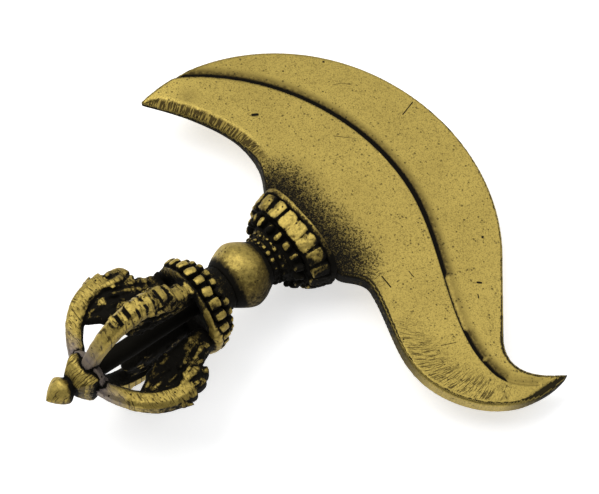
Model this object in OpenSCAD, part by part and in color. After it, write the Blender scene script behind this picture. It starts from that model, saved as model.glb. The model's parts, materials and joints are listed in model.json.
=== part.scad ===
// Kartika chopper: a crescent blade on a half vajra handle, all of brass, lying at rest.
// In the bench frame X runs along the handle from the finial to the blade, Y runs in the plane
// of the blade toward its pointed tip, and Z is square to the blade. laid_down() tips the whole
// thing over onto its rear prong and its cutting edge, as it lies on a table.

/* [Blade] */
// Thickness of the blade plate
blade_t = 5; // [4:0.1:6]
// Radius of the upper part of the cutting edge
edge_upper_r = 58.3; // [56:0.1:60]
// Radius of the flatter, lower part of the cutting edge
edge_lower_r = 63.6; // [62:0.1:66]
// Direction in which the two edge arcs meet, in degrees
edge_join_a = 22.8; // [18:0.1:27]
// Width of the groove that follows the cutting edge
groove_w = 1.3; // [0.8:0.1:2]
// Depth of the groove
groove_d = 0.7; // [0.4:0.1:1.1]
// Half height of the straight shoulder that stands on the collar
shoulder_h = 15.6; // [14.5:0.1:16]

/* [Tang and spindle] */
// Radius of the spindle that carries the whole handle
spindle_r = 2.75; // [2.5:0.05:3]
// Thickness of the tang behind the blade
tang_t = 1.8; // [1.4:0.1:2.2]
// Width of the tang
tang_w = 4.4; // [3.6:0.1:4.6]
// Length of the tang behind the shoulder
tang_len = 11; // [9:0.5:12]
// Radius of the rivet through the fork and the tang
rivet_r = 0.9; // [0.7:0.1:1.1]
// Distance of the rivet from the blade's shoulder
rivet_x = 6.5; // [5:0.5:7.5]
// Radius of the stud that holds the cap and the finial
stud_r = 1.3; // [1.1:0.1:1.5]
// Length of the stud inside the finial
stud_grip = 3; // [2:0.5:4]

/* [Collar] */
// Length of the rim band against the blade
rim_len = 1.7; // [1.2:0.1:2.2]
// Half width of the oval rim, in the plane of the blade
rim_half_w = 16.2; // [15.8:0.1:16.8]
// Half height of the oval rim, across the blade
rim_half_h = 11.6; // [11:0.1:12.4]
// Length of the row of large petals
petal_len = 5.7; // [5:0.1:6.5]
// Length of the row of small petals
small_petal_len = 3.6; // [3:0.1:4.2]
// Number of petals in each row
petal_count = 18; // [14:1:20]
// Width of the dark gap between two large petals
petal_gap = 0.9; // [0.6:0.1:1.2]
// Length of the plain flare under the small petals
flare_len = 2; // [1.5:0.1:3]
// Radius of the sleeve that carries the petal rows
sleeve_r = 6; // [5.4:0.1:6.4]

/* [Neck, knob and hub] */
// Length of the granulated neck ring
neck_len = 2.2; // [1.8:0.1:2.8]
// Radius of the granulated neck ring
neck_r = 7.5; // [7.2:0.1:7.9]
// Number of granules on the neck ring
neck_count = 26; // [20:2:30]
// Radius of the polished knob
knob_r = 9.8; // [9.2:0.1:10.4]
// Length of the knob between its two flat ends
knob_len = 13.2; // [12:0.1:14]
// Radius of the neck of the hub, against the knob
hub_neck_r = 6.9; // [6.5:0.1:7.3]
// Length of the bare neck of the hub
hub_neck_len = 4.4; // [3.5:0.1:5]
// Height of a large bead over its seat
bead_h = 3.1; // [2.4:0.1:3.6]
// Length of the row of large beads
bead_len = 4.1; // [3.5:0.1:4.6]
// Height of a small bead over its seat
small_bead_h = 2.7; // [2.1:0.1:3.1]
// Length of the row of small beads
small_bead_len = 2.9; // [2.4:0.1:3.4]
// Number of beads in each row
bead_count = 22; // [18:1:24]
// Width of the gap between two large beads
bead_gap = 0.8; // [0.5:0.1:1.1]
// Radius of the seat under the large beads
bead_seat_r = 11.4; // [11:0.1:11.8]
// Radius of the seat under the small beads
small_seat_r = 9.4; // [9:0.1:9.8]
// Depth of the hollow in the hub, on the side of the prongs
hub_hollow = 2.2; // [1.5:0.1:2.8]
// Length of the disc that carries the prongs
root_disc_len = 1.3; // [1:0.1:2]
// Radius of the disc that carries the prongs
root_disc_r = 13.4; // [13:0.1:13.8]

/* [Prongs] */
// Length of the cage of prongs, between the hub and the braze
cage_len = 32; // [29:0.5:35]
// Distance of the middle line of a prong from the axis at its widest
prong_reach = 19.6; // [18:0.1:21]
// Width of a prong, across its curve
prong_w = 4.3; // [3.8:0.1:4.8]
// Thickness of a prong, from its back to its hollow
prong_t = 5.4; // [4.6:0.1:5.8]
// Distance of the middle line of a prong from the axis at the hub
root_r = 10.4; // [10:0.1:10.9]
// Distance of the middle line of a prong from the axis at the tip
tip_r = 5.1; // [4.9:0.1:5.4]
// Length of the water beast's head on a prong, from its snout to its mane
head_len = 10; // [9:0.1:11]
// Height of the snout curl over the middle line of a prong
snout_rise = 2.9; // [2:0.1:3.2]
// Radius of the snout curl
snout_ball_r = 1.4; // [1.1:0.1:1.6]

/* [Tip] */
// Thickness of the braze between the prongs and the cap
braze_t = 1; // [0.6:0.1:1.4]
// Radius of the braze
braze_r = 6.9; // [6.4:0.1:7.3]
// Length of the four sided cap
cap_len = 5.8; // [5:0.1:6.6]
// Half width of the cap, flat to flat
cap_half_w = 5.6; // [5:0.1:6.2]
// Length of the finial bud
bud_len = 7.7; // [7:0.1:8.5]
// Radius of the finial bud
bud_r = 3.9; // [3.5:0.1:4.2]
// Radius of the bud's foot
bud_foot_r = 2.7; // [2.4:0.1:3]

/* [Fits] */
// Clearance round the spindle and the stud
spindle_gap = 0.05; // [0.02:0.01:0.1]
// Clearance under the petal and bead rows
seat_gap = 0.05; // [0.02:0.01:0.1]
// Clearance of the tang in its fork
fork_gap = 0.05; // [0.02:0.01:0.1]
// Clearance at the end of a blind hole or slot
end_gap = 0.3; // [0.2:0.1:0.5]

/* [Hidden] */

// Round forms are cut finely, and the faces of lofted forms are kept few
$fn = 64;
loft_fn = 40;
ball_fn = 14;
cut = 1;
thin = 0.02;

// How square the ovals of the collar are, where 2 is a plain ellipse
oval_form = 2.7;

// The bead rows and the disc follow the seats that they sit on
bead_r = bead_seat_r + bead_h;
small_bead_r = small_seat_r + small_bead_h;

// Stations along the handle, counted back from the shoulder of the blade
rim_x = -rim_len;
petal_x = rim_x - petal_len;
small_petal_x = petal_x - small_petal_len;
collar_x = small_petal_x - flare_len;
neck_x = collar_x - neck_len;
knob_x = neck_x - knob_len;
small_bead_x = knob_x - hub_neck_len - small_bead_len;
bead_x = small_bead_x - bead_len;
hub_x = bead_x - root_disc_len;
prong_end_x = hub_x - cage_len;
cap_x = prong_end_x - braze_t;
bud_x = cap_x - cap_len;
finial_x = bud_x - bud_len;

// The petal rows widen with the bell of the collar, from the neck ring to the rim
rim_half = [rim_half_w, rim_half_h];
petal_back = rim_half - [0.5, 0.4];
petal_crest = rim_half - [0.9, 0.7];
petal_front = rim_half - [3, 2.3];
small_back = petal_front - [1.2, 0.3];
small_front = [neck_r + 1.7, neck_r + 0.4];

// Curves in a plane
function bezier(p, n) = [for (i = [0 : n]) let (t = i / n, s = 1 - t)
    s * s * s * p[0] + 3 * s * s * t * p[1] + 3 * s * t * t * p[2] + t * t * t * p[3]];
function arc(c, r, a0, a1, n) = [for (i = [0 : n]) let (a = a0 + (a1 - a0) * i / n)
    c + r * [cos(a), sin(a)]];
function unit(v) = v / norm(v);
function tail(list) = [for (i = [1 : len(list) - 1]) list[i]];

// Outline of the blade, from the collar round the pointed tip, the cutting edge and the hook
upper_c = [0.6, 5.3];
lower_c = upper_c - (edge_lower_r - edge_upper_r) * [cos(edge_join_a), sin(edge_join_a)];
tip_a = 100.3;
edge_end_a = -44;
tip_blunt = [0.3, 1];
tip_point = upper_c + edge_upper_r * [cos(tip_a), sin(tip_a)];
edge_end = lower_c + edge_lower_r * [cos(edge_end_a), sin(edge_end_a)];
edge_low_dir = [sin(edge_end_a), -cos(edge_end_a)];
hook_start = edge_end + 24 * edge_low_dir + [1, 0];
hook_tip = [32.3, -78.3];
belly = [7.3, -71.8];
waist = [-1.7, -52];
lower_throat = [5.2, -25];
upper_throat = [5.2, 29];
inner_upper = concat(
    tail(bezier([[0, shoulder_h], [1, 19], [5.2, 22], upper_throat], 7)),
    tail(bezier([upper_throat, [5.2, 41], [-2.5, 52], tip_point - tip_blunt], 9)));
cutting_edge = concat(
    arc(upper_c, edge_upper_r, tip_a, edge_join_a, 24),
    tail(arc(lower_c, edge_lower_r, edge_join_a, edge_end_a, 20)));
hook_and_inner_lower = concat(
    bezier([hook_start, [19, -65], [20.5, -72], hook_tip], 12),
    tail(bezier([hook_tip, [24, -80.2], [14.5, -78.5], belly], 8)),
    tail(bezier([belly, [2.5, -67.3], [-1.7, -60], waist], 8)),
    tail(bezier([waist, [-1.7, -43], [3.6, -34.5], lower_throat], 9)),
    tail(bezier([lower_throat, [5.6, -20.5], [0, -19], [0, -shoulder_h]], 7)),
    [[0, shoulder_h]]);
blade_outline = concat(inner_upper, cutting_edge, hook_and_inner_lower);

// Middle line of the groove, from the cutting edge near the tip down into the hook
groove_c = [-29.9, 5.7];
groove_r = 66.7;
groove_join_a = -10;
groove_join = groove_c + groove_r * [cos(groove_join_a), sin(groove_join_a)];
groove_bend = [15.3, -64];
groove_line = concat(
    arc(groove_c, groove_r, 61, groove_join_a, 24),
    tail(bezier([groove_join, [32, -27], [14, -47], groove_bend], 12)),
    tail(bezier([groove_bend, [15.2, -69], [18.5, -72.5], [23, -75.4]], 6)));
function across(line, i) = let (
    a = line[max(i - 1, 0)], b = line[min(i + 1, len(line) - 1)], d = (b - a) / norm(b - a))
    [-d[1], d[0]];
function groove_half(i) = groove_w / 2 * min(1, 0.35 + (len(groove_line) - 1 - i) / 12);
groove_ribbon = concat(
    [for (i = [0 : len(groove_line) - 1])
        groove_line[i] + groove_half(i) * across(groove_line, i)],
    [for (i = [len(groove_line) - 1 : -1 : 0])
        groove_line[i] - groove_half(i) * across(groove_line, i)]);

// Middle line of a prong, as distance along the handle and distance from its axis
prong_peak = [prong_end_x + 0.5 * cage_len, prong_reach];
prong_line = concat(
    bezier([[prong_end_x, tip_r], [prong_end_x + 0.08 * cage_len, 0.66 * prong_reach],
        prong_peak - [0.25 * cage_len, 0.03 * prong_reach], prong_peak], 9),
    tail(bezier([prong_peak, prong_peak + [0.16 * cage_len, 0.02 * prong_reach],
        [hub_x - 0.25 * cage_len, 1.12 * root_r], [hub_x, root_r]], 9)));
snout = prong_peak + [0.24 * head_len, snout_rise];

// How the thing lies: on the snout of the rear prong and on the cutting edge, at the place where
// the line from that snout through the centre of mass crosses the edge
rest_a = -5.9;
edge_foot = concat(lower_c + edge_lower_r * [cos(rest_a), sin(rest_a)], -blade_t / 2);
edge_run = [-sin(rest_a), cos(rest_a), 0];
function table_up(foot) = unit(cross(edge_foot - foot, edge_run));
foot_ball = [snout[0], 0, -snout[1]];
prong_foot = foot_ball - snout_ball_r * table_up(foot_ball - [0, 0, snout_ball_r]);
up = table_up(prong_foot);
along = unit([1, 0, 0] - up[0] * up);
sideways = cross(up, along);
turn = [along, sideways, up];
blade_corners = [for (z = [-blade_t / 2, blade_t / 2], p = blade_outline) turn * [p[0], p[1], z]];
finial_point = turn * [finial_x, 0, 0];
function column(list, k) = [for (p = list) p[k]];
x_low = finial_point[0];
x_high = max(column(blade_corners, 0));
y_low = min(column(blade_corners, 1));
y_high = max(column(blade_corners, 1));
z_low = turn[2] * prong_foot;

module laid_down() {
    translate([-(x_low + x_high) / 2, -(y_low + y_high) / 2, -z_low])
        multmatrix([concat(along, 0), concat(sideways, 0), concat(up, 0), [0, 0, 0, 1]])
            children();
}

// A round solid along the handle, from a list of [station, radius] points
module turned(profile) {
    rotate([0, 90, 0])
        rotate_extrude()
            polygon([for (p = profile) [p[1], p[0]]]);
}

module rod(x0, x1, r) {
    translate([x0, 0, 0])
        rotate([0, 90, 0])
            cylinder(h = x1 - x0, r = r);
}

module bore(x0, x1, r) {
    rod(x0 - cut, x1 + cut, r);
}

// A thin oval slice across the handle, from its half width and half height
function signed_pow(v, e) = sign(v) * pow(abs(v), e);
module oval_slice(x, half, form) {
    translate([x, 0, 0])
        rotate([0, 90, 0])
            linear_extrude(thin)
                polygon([for (i = [0 : loft_fn - 1]) let (a = 360 * i / loft_fn)
                    [half[1] * signed_pow(cos(a), 2 / form), half[0] * signed_pow(sin(a), 2 / form)]]);
}

// A short oval frustum with square ends
module oval_drum(x0, x1, start, end, start_form = oval_form) {
    hull() {
        oval_slice(x0, start, start_form);
        oval_slice(x1 - thin, end, oval_form);
    }
}

// Slots that part one petal or bead from the next, seen square to an oval or round row
module parting_slots(x0, x1, count, gap, inner, outer, phase) {
    for (i = [0 : count - 1])
        rotate([360 * (i + phase) / count, 0, 0])
            translate([x0, -gap / 2, inner])
                cube([x1 - x0, gap, outer - inner]);
}

// Slots square to an oval row, spread so that the petals are equally wide
module oval_slots(x0, x1, count, gap, half_w, half_h, depth, phase) {
    for (i = [0 : count - 1]) {
        a = 360 * (i + phase) / count;
        spot = [half_w * cos(a), half_h * sin(a)];
        lean = atan2(half_w * sin(a), half_h * cos(a));
        translate([x0, spot[0], spot[1]])
            rotate([lean, 0, 0])
                translate([0, -depth, -gap / 2])
                    cube([x1 - x0, 2 * depth, gap]);
    }
}

module blade() {
    color("goldenrod")
        difference() {
            union() {
                translate([0, 0, -blade_t / 2])
                    linear_extrude(blade_t)
                        polygon(blade_outline);
                translate([-tang_len, -tang_w / 2, -tang_t / 2])
                    cube([tang_len + cut, tang_w, tang_t]);
            }
            for (side = [0, 1])
                mirror([0, 0, side])
                    translate([0, 0, blade_t / 2 - groove_d])
                        linear_extrude(groove_d + cut)
                            polygon(groove_ribbon);
            translate([-rivet_x, 0, -tang_t])
                cylinder(h = 2 * tang_t, r = rivet_r + spindle_gap);
        }
}

module tang_rivet() {
    color("darkgoldenrod")
        translate([-rivet_x, 0, -spindle_r + end_gap / 2])
            cylinder(h = 2 * spindle_r - end_gap, r = rivet_r);
}

module spindle() {
    color("saddlebrown")
        difference() {
            union() {
                rod(cap_x, -end_gap, spindle_r);
                rod(bud_x - stud_grip, cap_x + cut, stud_r);
            }
            translate([-tang_len - end_gap, -2 * spindle_r, -tang_t / 2 - fork_gap])
                cube([tang_len + end_gap, 4 * spindle_r, tang_t + 2 * fork_gap]);
            translate([-rivet_x, 0, -2 * spindle_r])
                cylinder(h = 4 * spindle_r, r = rivet_r + spindle_gap);
        }
}

module collar_rim() {
    color("darkgoldenrod")
        difference() {
            oval_drum(rim_x, 0, petal_back, rim_half);
            bore(rim_x, 0, spindle_r + spindle_gap);
        }
}

module collar_petals_large() {
    crest_x = petal_x + 0.45 * petal_len;
    color("goldenrod")
        difference() {
            union() {
                oval_drum(petal_x, crest_x, petal_front, petal_crest);
                oval_drum(crest_x, rim_x, petal_crest, petal_back);
            }
            bore(petal_x, rim_x, sleeve_r + seat_gap);
            oval_slots(petal_x - cut, rim_x - 0.8, petal_count, petal_gap, petal_back[0],
                petal_back[1], 2.6, 0);
        }
}

module collar_petals_small() {
    color("goldenrod")
        difference() {
            oval_drum(small_petal_x, petal_x, small_front, small_back);
            bore(small_petal_x, petal_x, sleeve_r + seat_gap);
            oval_slots(small_petal_x - cut, petal_x - 0.5, petal_count, 1.4 * petal_gap,
                small_back[0], small_back[1], 1.7, 0.5);
        }
}

module lotus_collar() {
    bell_r = neck_r - 0.4;
    color("saddlebrown")
        difference() {
            union() {
                oval_drum(collar_x, small_petal_x, [bell_r, bell_r], small_front, 2);
                rod(collar_x, rim_x, sleeve_r);
            }
            bore(collar_x, rim_x, spindle_r + spindle_gap);
        }
}

// A ring with a rounded crest, parted into beads
module beaded_ring(x0, x1, inner, crest, count, gap, phase) {
    long = x1 - x0;
    low = crest - 0.32 * long;
    difference() {
        turned([[x0, inner], [x0, low], [x0 + 0.12 * long, crest - 0.12 * long],
            [x0 + 0.3 * long, crest], [x1 - 0.3 * long, crest],
            [x1 - 0.12 * long, crest - 0.12 * long], [x1, low], [x1, inner]]);
        parting_slots(x0 - cut, x1 + cut, count, gap, low - 0.25 * long, crest + cut, phase);
    }
}

module neck_ring() {
    color("darkgoldenrod")
        beaded_ring(neck_x, collar_x, spindle_r + spindle_gap, neck_r, neck_count, 0.5, 0);
}

module knob() {
    mid = neck_x - knob_len / 2;
    end_r = neck_r - 0.7;
    rise = knob_r - end_r;
    color("goldenrod")
        turned(concat([[knob_x, spindle_r + spindle_gap]],
            [for (i = [-10 : 10]) let (t = i / 10)
                [mid + knob_len / 2 * t, knob_r - rise * pow(abs(t), 1.55)]],
            [[neck_x, spindle_r + spindle_gap]]));
}

module hub_beads_small() {
    color("goldenrod")
        beaded_ring(small_bead_x, small_bead_x + small_bead_len, small_seat_r + seat_gap,
            small_bead_r, bead_count, bead_gap, 0.5);
}

module hub_beads_large() {
    color("goldenrod")
        beaded_ring(bead_x, small_bead_x, bead_seat_r + seat_gap, bead_r, bead_count, bead_gap, 0);
}

module lotus_hub() {
    inner = spindle_r + spindle_gap;
    flare = small_bead_x + small_bead_len;
    color("saddlebrown")
        turned([[hub_x + hub_hollow, inner], [hub_x + hub_hollow, spindle_r + 1],
            [hub_x, root_r - prong_t / 2 - 0.4], [hub_x, root_disc_r - 0.6],
            [hub_x + 0.6, root_disc_r], [bead_x, root_disc_r], [bead_x, bead_seat_r],
            [small_bead_x, bead_seat_r], [small_bead_x, small_seat_r], [flare, small_seat_r],
            [flare + 0.35 * hub_neck_len, hub_neck_r + 0.5], [knob_x, hub_neck_r],
            [knob_x, inner]]);
}

// Section of a prong at ring i: a rounded square set across the middle line
ring_sides = 12;
last_ring = len(prong_line) - 1;
function prong_swell(i) = i < 9 ? 0.84 + 0.03 * i : 1.11 - 0.02 * (i - 9);
function prong_ring(i) = let (
    n = i == 0 || i == last_ring ? [0, 1] : across(prong_line, i),
    s = prong_swell(i)) [for (k = [0 : ring_sides - 1]) let (
        a = 360 * k / ring_sides, c = cos(a), d = sin(a),
        u = signed_pow(c, 0.7) * s * prong_w / 2,
        v = signed_pow(d, 0.7) * s * prong_t / 2)
        [prong_line[i][0] + v * n[0], u, prong_line[i][1] + v * n[1]]];
prong_points = [for (i = [0 : last_ring]) each prong_ring(i)];
prong_faces = concat(
    [[for (k = [0 : ring_sides - 1]) k]],
    [for (i = [0 : last_ring - 1], k = [0 : ring_sides - 1]) let (
        j = (k + 1) % ring_sides, a = i * ring_sides, b = a + ring_sides)
        [a + k, b + k, b + j, a + j]],
    [[for (k = [ring_sides - 1 : -1 : 0]) last_ring * ring_sides + k]]);

module lump(a, b, ra, rb) {
    hull() {
        translate(a)
            sphere(ra, $fn = ball_fn);
        translate(b)
            sphere(rb, $fn = ball_fn);
    }
}

// The water beast's head that the prong comes out of. Its lumps are placed from the peak of the
// prong, as shares of the head's length: along the handle, sideways and outward, and two radii
function on_head(v) = [prong_peak[0] + head_len * v[0], head_len * v[1],
    prong_peak[1] + head_len * v[2]];
module head_lump(a, b, ra, rb) {
    lump(on_head(a), on_head(b), head_len * ra, head_len * rb);
}
module beast_head() {
    lump(on_head([-0.15, 0, 0.06]), [snout[0], 0, snout[1]], 0.22 * head_len, snout_ball_r);
    head_lump([0.4, 0, -0.06], [0.7, 0, -0.02], 0.27, 0.23);
    for (side = [-1, 1]) {
        head_lump([0.1, 0.18 * side, -0.2], [0.6, 0.2 * side, -0.3], 0.2, 0.26);
        head_lump([0.75, 0.2 * side, -0.35], [0.95, 0.3 * side, -0.52], 0.16, 0.09);
    }
    head_lump([0.65, 0, -0.6], [0.1, 0, -0.9], 0.3, 0.24);
    head_lump([0.1, 0, -0.9], [-0.75, 0, -0.72], 0.24, 0.12);
    head_lump([0.1, 0, -0.9], [0.15, 0, -1.05], 0.24, 0.22);
    head_lump([0, 0, -0.4], [0.5, 0, -0.5], 0.16, 0.2);
}

module prong() {
    polyhedron(prong_points, prong_faces, convexity = 4);
    beast_head();
    for (i = [14, 16])
        hull() {
            p = prong_line[i];
            n = across(prong_line, i);
            for (side = [-1, 1])
                translate([p[0] + prong_t / 3 * n[0], side * prong_w / 3, p[1] + prong_t / 3 * n[1]])
                    sphere(prong_w / 4, $fn = ball_fn);
        }
}

module prong_at(a) {
    color("goldenrod")
        rotate([a, 0, 0])
            difference() {
                prong();
                translate([hub_x, -20, 0])
                    cube([20, 40, 40]);
            }
}

module braze_seam() {
    color("slategray")
        difference() {
            turned([[cap_x, 0], [cap_x, braze_r - 0.3], [cap_x + 0.4, braze_r],
                [prong_end_x, braze_r - 0.4], [prong_end_x, 0]]);
            bore(cap_x, prong_end_x, spindle_r + spindle_gap);
        }
}

module square_slice(x, half, round) {
    translate([x, 0, 0])
        rotate([0, 90, 0])
            linear_extrude(thin)
                offset(round, $fn = 16)
                    square(2 * (half - round), center = true);
}

module tip_cap() {
    color("darkgoldenrod")
        difference() {
            union() {
                hull() {
                    square_slice(cap_x - thin, cap_half_w - 0.3, 2);
                    square_slice(cap_x - 0.3 * cap_len, cap_half_w, 2);
                }
                hull() {
                    square_slice(cap_x - 0.3 * cap_len, cap_half_w, 2);
                    square_slice(bud_x + 0.15 * cap_len, bud_foot_r + 0.8, 1.5);
                }
                hull() {
                    square_slice(bud_x + 0.15 * cap_len, bud_foot_r + 0.8, 1.5);
                    square_slice(bud_x, bud_foot_r - 0.2, 1.5);
                }
            }
            bore(bud_x, cap_x, stud_r + spindle_gap);
        }
}

module finial_bud() {
    color("goldenrod")
        difference() {
            turned(concat(
                [for (p = bezier([[finial_x, 0], [finial_x + 0.6, 1.7],
                    [bud_x - 4.4, bud_r], [bud_x - 2.4, bud_r]], 8)) [p[0], max(p[1], 0)]],
                tail(bezier([[bud_x - 2.4, bud_r], [bud_x - 1.2, bud_r],
                    [bud_x - 0.9, bud_foot_r], [bud_x, bud_foot_r]], 5)),
                [[bud_x, 0]]));
            rod(bud_x - stud_grip - end_gap, bud_x + cut, stud_r + spindle_gap);
        }
}

laid_down() blade();
laid_down() tang_rivet();
laid_down() spindle();
laid_down() collar_rim();
laid_down() collar_petals_large();
laid_down() collar_petals_small();
laid_down() lotus_collar();
laid_down() neck_ring();
laid_down() knob();
laid_down() hub_beads_small();
laid_down() hub_beads_large();
laid_down() lotus_hub();
laid_down() prong_at(-90);  // prong_upper
laid_down() prong_at(0);  // prong_front
laid_down() prong_at(90);  // prong_lower
laid_down() prong_at(180);  // prong_rear
laid_down() braze_seam();
laid_down() tip_cap();
laid_down() finial_bud();
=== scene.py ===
"""Brass kartika: a crescent blade on a half vajra handle, lying on a pale floor."""

import json
import math

import bpy
import numpy as np
from bpy.props import FloatProperty, FloatVectorProperty, IntProperty, PointerProperty
from mathutils import Matrix, Vector, noise
from mathutils.bvhtree import BVHTree


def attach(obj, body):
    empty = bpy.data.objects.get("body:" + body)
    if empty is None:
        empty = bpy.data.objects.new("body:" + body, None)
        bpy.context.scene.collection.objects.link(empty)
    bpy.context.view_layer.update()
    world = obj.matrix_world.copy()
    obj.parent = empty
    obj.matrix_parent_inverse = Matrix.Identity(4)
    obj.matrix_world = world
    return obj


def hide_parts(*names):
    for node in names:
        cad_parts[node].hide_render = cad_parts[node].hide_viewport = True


bl_info = {
    "name": "Brass Kartika",
    "version": (1, 0, 0),
    "blender": (4, 5, 0),
    "location": "3D View > Sidebar > Kartika",
    "description": "Builds a brass kartika, piece by piece, with its floor and lamps",
    "category": "Add Mesh",
}

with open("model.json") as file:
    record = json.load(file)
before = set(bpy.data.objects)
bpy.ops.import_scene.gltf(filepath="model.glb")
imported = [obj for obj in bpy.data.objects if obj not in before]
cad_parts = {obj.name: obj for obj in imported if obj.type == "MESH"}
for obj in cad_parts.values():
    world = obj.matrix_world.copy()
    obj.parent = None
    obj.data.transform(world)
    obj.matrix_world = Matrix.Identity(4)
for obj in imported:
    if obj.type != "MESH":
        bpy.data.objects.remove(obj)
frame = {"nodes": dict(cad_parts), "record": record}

# Pieces are made on the bench, in millimetres: X runs along the handle with 0 at the blade's
# shoulder, Y runs in the plane of the blade toward its pointed tip, and Z is square to the blade.
# BENCH_TO_ROW lays them down as they rest on the floor. It follows from the blade's front mount.
BLADE_T = 5.0
MOUNT = next(m for m in frame["record"]["mounts"] if m["name"] == "blade_front_face")
NORMAL = Vector(MOUNT["axis"]).normalized()
ALONG = Vector((NORMAL.z, 0, -NORMAL.x)).normalized()
TURN = Matrix((ALONG, NORMAL.cross(ALONG), NORMAL)).transposed() * 0.001
BENCH_TO_ROW = TURN.to_4x4()
BENCH_TO_ROW.translation = Vector(MOUNT["pos_m"]) - TURN @ Vector((30, 0, BLADE_T / 2))
ROW_TO_BENCH = BENCH_TO_ROW.inverted()

# Stations along the handle, from the blade back to the finial
RIM, PETALS, SMALL_PETALS, COLLAR = -1.7, -7.4, -11.0, -13.0
NECK, KNOB, SMALL_BEADS, BEADS, HUB = -15.2, -28.4, -35.7, -39.8, -41.1
PRONG_END, CAP, BUD, FINIAL = -73.1, -74.1, -79.9, -87.6
KNOB_MIDDLE = (NECK + KNOB) / 2
PEAK = (-57.1, 19.6)
QUARTERS = {"upper": -90, "front": 0, "lower": 90, "rear": 180}


class KartikaSizes(bpy.types.PropertyGroup):
    """Sizes that a maker would change, on the bench, in millimetres."""

    grain: FloatProperty(name="Grain", description="Size of the cells that cast pieces are built from",
                         default=0.26, min=0.18, max=0.6)
    groove_width: FloatProperty(name="Groove width", description="Width of the cut beside the groove's lip",
                                default=1.3, min=0.8, max=2)
    groove_depth: FloatProperty(name="Groove depth", description="Depth of the groove in the blade",
                                default=0.7, min=0.4, max=1.1)
    petals: IntProperty(name="Petals", description="Number of petals in each row of the collar",
                        default=18, min=14, max=20)
    beads: IntProperty(name="Beads", description="Number of beads in each row of the hub",
                       default=22, min=18, max=24)
    roughcast: FloatProperty(name="Rough cast", description="Unevenness left by casting",
                             default=0.22, min=0, max=0.5)


class KartikaFinishes(bpy.types.PropertyGroup):
    """Colours of the brass, of what is on it and of the painted shade."""

    clean: FloatVectorProperty(name="Clean brass", description="Colour of the brass where it is rubbed",
                               subtype="COLOR", size=4, default=(0.56, 0.42, 0.105, 1), min=0, max=1)
    worn: FloatVectorProperty(name="Dull brass", description="Colour of the brass where it is dull",
                              subtype="COLOR", size=4, default=(0.42, 0.31, 0.075, 1), min=0, max=1)
    # This colour also paints shade: inside the cage, on the sides turned from the lamps and along the blade's
    # rims and walls.
    patina: FloatVectorProperty(name="Patina and Shade", description="Colour of the dark coat in the hollows",
                                subtype="COLOR", size=4, default=(0.006, 0.005, 0.003, 1), min=0, max=1)
    # This colour also tints the painted shade on the blade: in the collar's shadow, on the groove's outer
    # slope and on the filed shoulder.
    umber_and_shade: FloatVectorProperty(name="Umber and Shade", description="Colour of the thin edge of the dark coat",
                               subtype="COLOR", size=4, default=(0.055, 0.038, 0.014, 1), min=0, max=1)
    bloom: FloatVectorProperty(name="Bloom", description="Colour left on the braze by the torch",
                               subtype="COLOR", size=4, default=(0.21, 0.175, 0.17, 1), min=0, max=1)
    floor: FloatVectorProperty(name="Floor", description="Colour of the floor",
                               subtype="COLOR", size=4, default=(0.86, 0.86, 0.86, 1), min=0, max=1)


def sizes():
    return bpy.context.scene.kartika_sizes


def finishes():
    return bpy.context.scene.kartika_finishes


# Modelling


def only(*objs):
    """Selects these objects alone, the first of them active."""
    bpy.ops.object.select_all(action="DESELECT")
    for obj in objs:
        obj.select_set(True)
    bpy.context.view_layer.objects.active = objs[0]


def named(name):
    """The object that was just added, under its own name."""
    obj = bpy.context.active_object
    obj.name = obj.data.name = name
    return obj


def modify(obj, kind, **settings):
    """Adds a modifier to an object and applies it."""
    only(obj)
    mod = obj.modifiers.new(kind.title(), kind)
    for key, value in settings.items():
        setattr(mod, key, value)
    bpy.ops.object.modifier_apply(modifier=mod.name)
    return obj


def place(obj, matrix=None):
    """Applies an object's place, turned further by a matrix if one is given."""
    only(obj)
    if matrix is not None:
        obj.matrix_world = matrix @ obj.matrix_world
    bpy.ops.object.transform_apply(location=True, rotation=True, scale=True)
    return obj


def joined(name, parts):
    """Joins several meshes into one object."""
    only(*parts)
    if len(parts) > 1:
        bpy.ops.object.join()
    return named(name)


def copies(name, model, matrices, keep=False):
    """One object from copies of a model, each with its own mesh. The model is used up unless kept."""
    parts = []
    for matrix in matrices:
        copy = model.copy()
        copy.data = model.data.copy()
        bpy.context.collection.objects.link(copy)
        parts.append(place(copy, matrix))
    if not keep:
        bpy.data.objects.remove(model)
    return joined(name, parts)


def closed(obj):
    """Merges doubles and turns the faces outward."""
    only(obj)
    bpy.ops.object.mode_set(mode="EDIT")
    bpy.ops.mesh.select_all(action="SELECT")
    bpy.ops.mesh.remove_doubles(threshold=0.001)
    bpy.ops.mesh.normals_make_consistent(inside=False)
    bpy.ops.object.mode_set(mode="OBJECT")
    return obj


def turned(name, profile, steps=96):
    """A round solid along the handle: a point is drawn out along a profile of (station, radius)
    pairs, and the line is spun about the handle's axis. The profile starts and ends on the axis,
    or is closed for a ring."""
    if profile[0][1] > 0:
        profile = [*profile, profile[0]]
    bpy.ops.object.select_all(action="DESELECT")
    bpy.ops.mesh.primitive_plane_add(size=1, location=(0, 0, 0))
    obj = named(name)
    bpy.ops.object.mode_set(mode="EDIT")
    bpy.ops.mesh.merge(type="CENTER")
    last = (0, 0)
    for i, (x, r) in enumerate(profile):
        step = {"value": (x - last[0], 0, r - last[1])}
        if i:
            bpy.ops.mesh.extrude_region_move(TRANSFORM_OT_translate=step)
        else:
            bpy.ops.transform.translate(**step)
        last = (x, r)
    bpy.ops.mesh.select_all(action="SELECT")
    bpy.ops.mesh.spin(steps=steps, angle=2 * math.pi, center=(0, 0, 0), axis=(1, 0, 0))
    bpy.ops.object.mode_set(mode="OBJECT")
    return closed(obj)


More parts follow.
